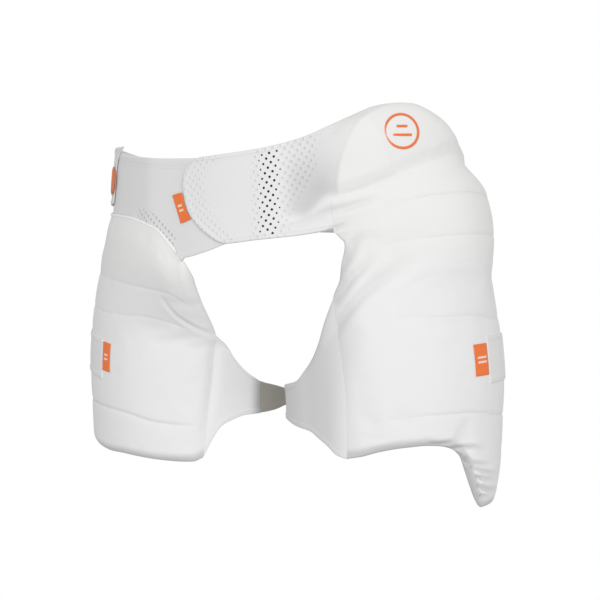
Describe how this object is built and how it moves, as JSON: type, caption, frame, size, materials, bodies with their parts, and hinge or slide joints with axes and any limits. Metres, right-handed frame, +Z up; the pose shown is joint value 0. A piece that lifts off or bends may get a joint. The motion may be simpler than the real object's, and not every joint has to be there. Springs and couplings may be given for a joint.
{
  "type": "cricket lower body guard",
  "caption": "Padded cricket guard for the lower body: waist belt with hip guard and quilted thigh guards on leg straps, held open as worn.",
  "frame": {"origin": "centre of the waist loop at the belt's mid height, where the wearer's waist holds it", "axes": "+Z up, the wearer faces -Y, the wearer's left is +X"},
  "size_m": [0.483, 0.2708, 0.3977],
  "materials": {
    "padded_cloth": "matte off-white stretch cloth over foam",
    "cloth": "matte off-white stretch cloth",
    "belt_elastic": "matte light grey ribbed elastic",
    "strap_elastic": "matte beige grey elastic",
    "label": "orange woven label",
    "piping": "white bound piping"
  },
  "bodies": {
    "root": {"right_thigh_pad": "padded_cloth", "left_thigh_pad": "padded_cloth", "right_inner_wing": "cloth", "left_inner_wing": "cloth", "right_leg_strap": "strap_elastic", "left_leg_strap": "strap_elastic", "right_strap_tab": "cloth", "left_strap_tab": "cloth", "right_pull_tab": "label", "left_pull_tab": "label", "waist_belt": "belt_elastic", "closure_tab": "cloth", "belt_pull_tab": "label", "side_tab": "cloth", "hip_guard": "padded_cloth", "hip_badge": "label", "side_badge": "label", "right_piping": "piping"}
  },
  "joints": []
}
